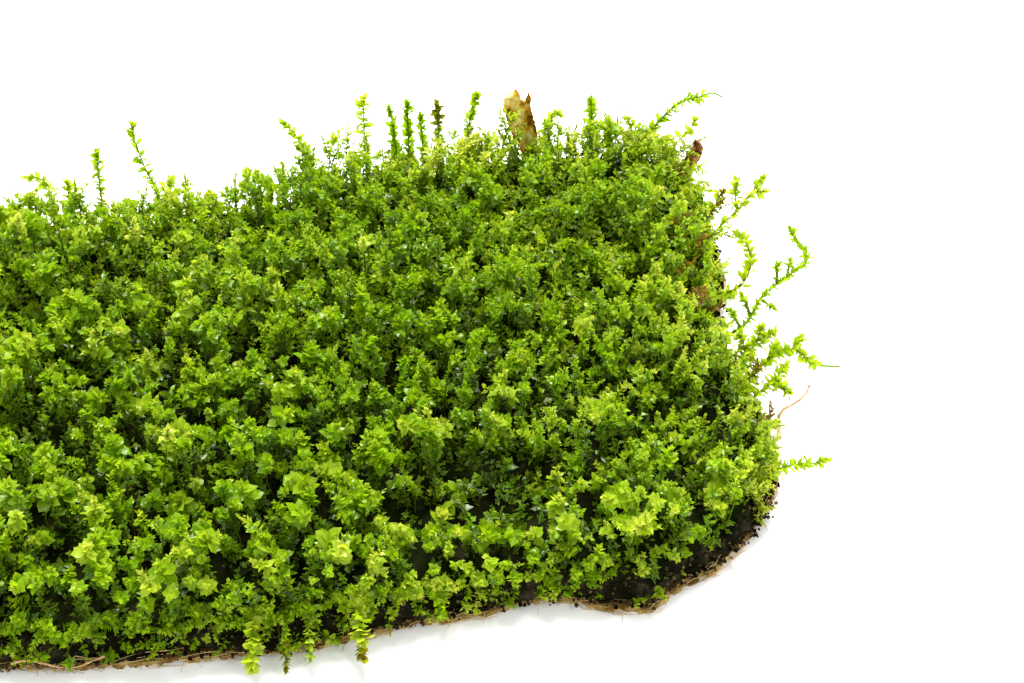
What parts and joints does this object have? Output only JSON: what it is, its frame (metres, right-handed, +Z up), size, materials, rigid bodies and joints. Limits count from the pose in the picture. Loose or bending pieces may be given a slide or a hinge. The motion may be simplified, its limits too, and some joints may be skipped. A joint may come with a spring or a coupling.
{
  "type": "moss clump",
  "caption": "Strip of leafy moss on a thin mat of soil and roots, cut square, with shoots straying over its rim; lies flat as ground cover.",
  "frame": {"origin": "middle of the strip's box, on the surface that it lies on", "axes": "+X along the strip, +Y from the front edge to the back, +Z up"},
  "size_m": [0.2029, 0.1433, 0.0334],
  "materials": {
    "moss": "moist leaf, softly glossy, thin enough to glow against the light",
    "young_moss": "yellow-green young leaf, softly glossy",
    "soil": "dark damp crumbly soil",
    "root_felt": "tan matted root fibre, matte",
    "root": "dry tan root",
    "bark": "flaky tan bark",
    "dead_leaf": "dry brown leaf"
  },
  "bodies": {
    "root": {"root_felt": "root_felt", "soil_mat": "soil", "soil_crumb": "soil", "moss_tuft_front_1": "moss", "moss_tuft_front_2": "moss", "moss_tuft_front_3": "moss", "moss_tuft_front_4": "moss", "moss_tuft_front_5": "moss", "moss_tuft_front_6": "moss", "moss_tuft_mid_front_1": "moss", "moss_tuft_mid_front_2": "moss", "moss_tuft_mid_front_3": "moss", "moss_tuft_mid_front_4": "moss", "moss_tuft_mid_front_5": "moss", "moss_tuft_mid_front_6": "moss", "moss_tuft_mid_back_1": "moss", "moss_tuft_mid_back_2": "moss", "moss_tuft_mid_back_3": "moss", "moss_tuft_mid_back_4": "moss", "moss_tuft_mid_back_5": "moss", "moss_tuft_mid_back_6": "moss", "moss_tuft_back_1": "moss", "moss_tuft_back_2": "moss", "moss_tuft_back_3": "moss", "moss_tuft_back_4": "moss", "moss_tuft_back_5": "moss", "moss_tuft_back_6": "moss", "stray_shoot_hooked": "young_moss", "stray_shoot_beside_hook": "young_moss", "stray_shoot_club": "young_moss", "stray_shoot_tall": "young_moss", "stray_shoot_back_left": "young_moss", "stray_shoot_round_head": "young_moss", "stray_shoot_fork_left": "young_moss", "stray_shoot_fork_right": "young_moss", "stray_shoot_stub": "young_moss", "stray_shoot_brown_tip": "young_moss", "stray_shoot_jointed": "young_moss", "stray_shoot_arch": "young_moss", "stray_shoot_finger": "young_moss", "stray_shoot_whip": "young_moss", "stray_shoot_round_leaves": "young_moss", "stray_shoot_right_back": "young_moss", "stray_shoot_right_short": "young_moss", "stray_shoot_arched_stem": "young_moss", "stray_shoot_curly": "young_moss", "stray_shoot_plume": "young_moss", "stray_shoot_dark_joint": "young_moss", "stray_shoot_split_tip": "young_moss", "stray_shoot_low_right": "young_moss", "drooping_shoot_pale": "young_moss", "drooping_shoot_dark": "young_moss", "drooping_shoot_thin": "young_moss", "drooping_shoot_yellow": "young_moss", "drooping_shoot_stub": "young_moss", "loose_root": "root", "edge_root": "root", "bark_flake": "bark", "dead_leaf": "dead_leaf"}
  },
  "joints": []
}
